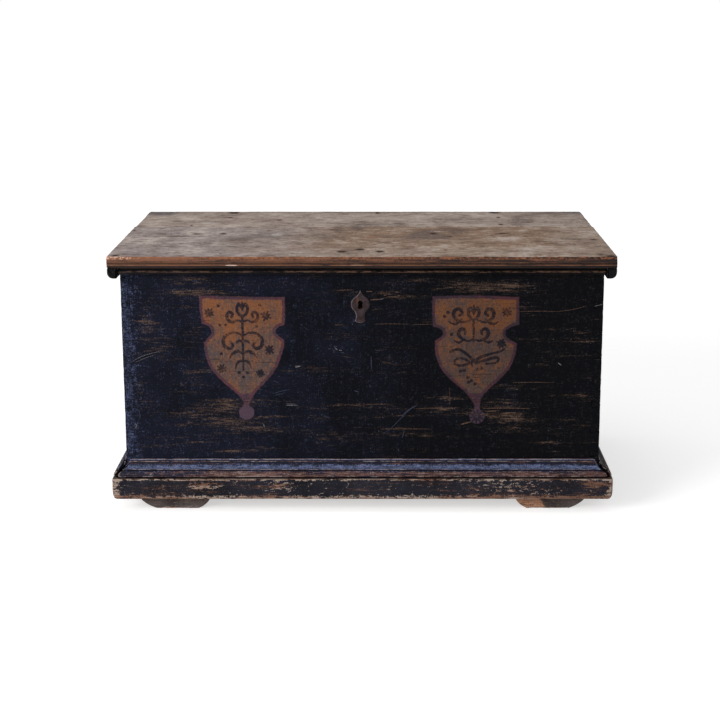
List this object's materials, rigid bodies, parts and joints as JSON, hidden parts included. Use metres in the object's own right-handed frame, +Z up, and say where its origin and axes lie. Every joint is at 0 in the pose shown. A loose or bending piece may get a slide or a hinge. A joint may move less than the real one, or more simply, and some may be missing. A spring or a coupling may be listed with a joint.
{
  "type": "dowry chest",
  "caption": "Dovetailed pine chest with a hinged board lid, moulded plinth, low feet, inside lock with escutcheon, inner till and drop handles on the ends.",
  "frame": {"origin": "on the floor under the centre of the chest's outer box", "axes": "+X along the chest's length to the right seen from the front, -Y towards the front with the keyhole, +Z up"},
  "size_m": [1.213, 0.64, 0.636],
  "materials": {
    "painted_pine": "worn blue-black oil paint",
    "painted_plinth_pine": "worn blue paint over pine",
    "painted_lid_pine": "rubbed dark paint",
    "bare_lid_pine": "bare weathered pine",
    "worn_foot_pine": "worn paint and bare pine",
    "inner_pine": "bare planed pine",
    "wrought_iron": "dark rusty wrought iron",
    "lock_steel": "worn dark iron",
    "nails": "rusty hand-made nails"
  },
  "bodies": {
    "chest": {"back_board_lower": "inner_pine", "back_board_upper": "inner_pine", "bottom_board_1": "inner_pine", "bottom_board_2": "inner_pine", "bottom_board_3": "inner_pine", "bottom_nails": "nails", "escutcheon": "wrought_iron", "escutcheon_nails": "nails", "foot_front_left": "worn_foot_pine", "foot_front_right": "worn_foot_pine", "foot_pegs": "inner_pine", "foot_rear_left": "worn_foot_pine", "foot_rear_right": "worn_foot_pine", "front_board": "painted_pine", "handle_plates_left": "wrought_iron", "handle_plates_right": "wrought_iron", "handle_staples_left": "wrought_iron", "handle_staples_right": "wrought_iron", "hinge_leaf_left": "wrought_iron", "hinge_leaf_right": "wrought_iron", "hinge_pin_left": "wrought_iron", "hinge_pin_right": "wrought_iron", "leaf_nails": "nails", "left_end_board": "painted_pine", "lock_bolt_guides": "lock_steel", "lock_case": "wrought_iron", "lock_key_post": "lock_steel", "lock_nails": "nails", "lock_plate": "wrought_iron", "lock_spring": "lock_steel", "moulding_brads": "nails", "plinth_board_front": "painted_plinth_pine", "plinth_board_left": "painted_plinth_pine", "plinth_board_right": "painted_plinth_pine", "plinth_moulding_front": "painted_plinth_pine", "plinth_moulding_left": "painted_plinth_pine", "plinth_moulding_right": "painted_plinth_pine", "plinth_nails": "nails", "right_end_board": "painted_pine", "till_bottom": "inner_pine", "till_side": "inner_pine"},
    "lid": {"lid_front_board": "bare_lid_pine", "lid_back_board": "bare_lid_pine", "lid_dowels": "inner_pine", "lid_end_batten_left": "painted_lid_pine", "lid_end_batten_right": "painted_lid_pine", "lid_front_strip": "painted_lid_pine", "hinge_strap_left": "wrought_iron", "hinge_strap_right": "wrought_iron", "strap_nails": "nails", "batten_nails": "nails", "strip_nails": "nails", "lid_hasp": "wrought_iron", "hasp_nails": "nails"},
    "bolt": {"lock_bolt": "lock_steel"},
    "handle_left": {"handle_bail_left": "wrought_iron"},
    "handle_right": {"handle_bail_right": "wrought_iron"}
  },
  "joints": [
    {"name": "lid_hinge", "type": "hinge", "parent": "chest", "child": "lid", "pos_m": [0, 0.302, 0.6055], "axis": [-1, 0, 0], "range_deg": [0, 105]},
    {"name": "lock_bolt_slide", "type": "slide", "parent": "chest", "child": "bolt", "axis": [1, 0, 0], "range_m": [0, 0.014]},
    {"name": "handle_left_swing", "type": "hinge", "parent": "chest", "child": "handle_left", "pos_m": [-0.589, 0, 0.43], "axis": [0, 1, 0], "range_deg": [-5, 175]},
    {"name": "handle_right_swing", "type": "hinge", "parent": "chest", "child": "handle_right", "pos_m": [0.589, 0, 0.43], "axis": [0, -1, 0], "range_deg": [-5, 175]}
  ]
}
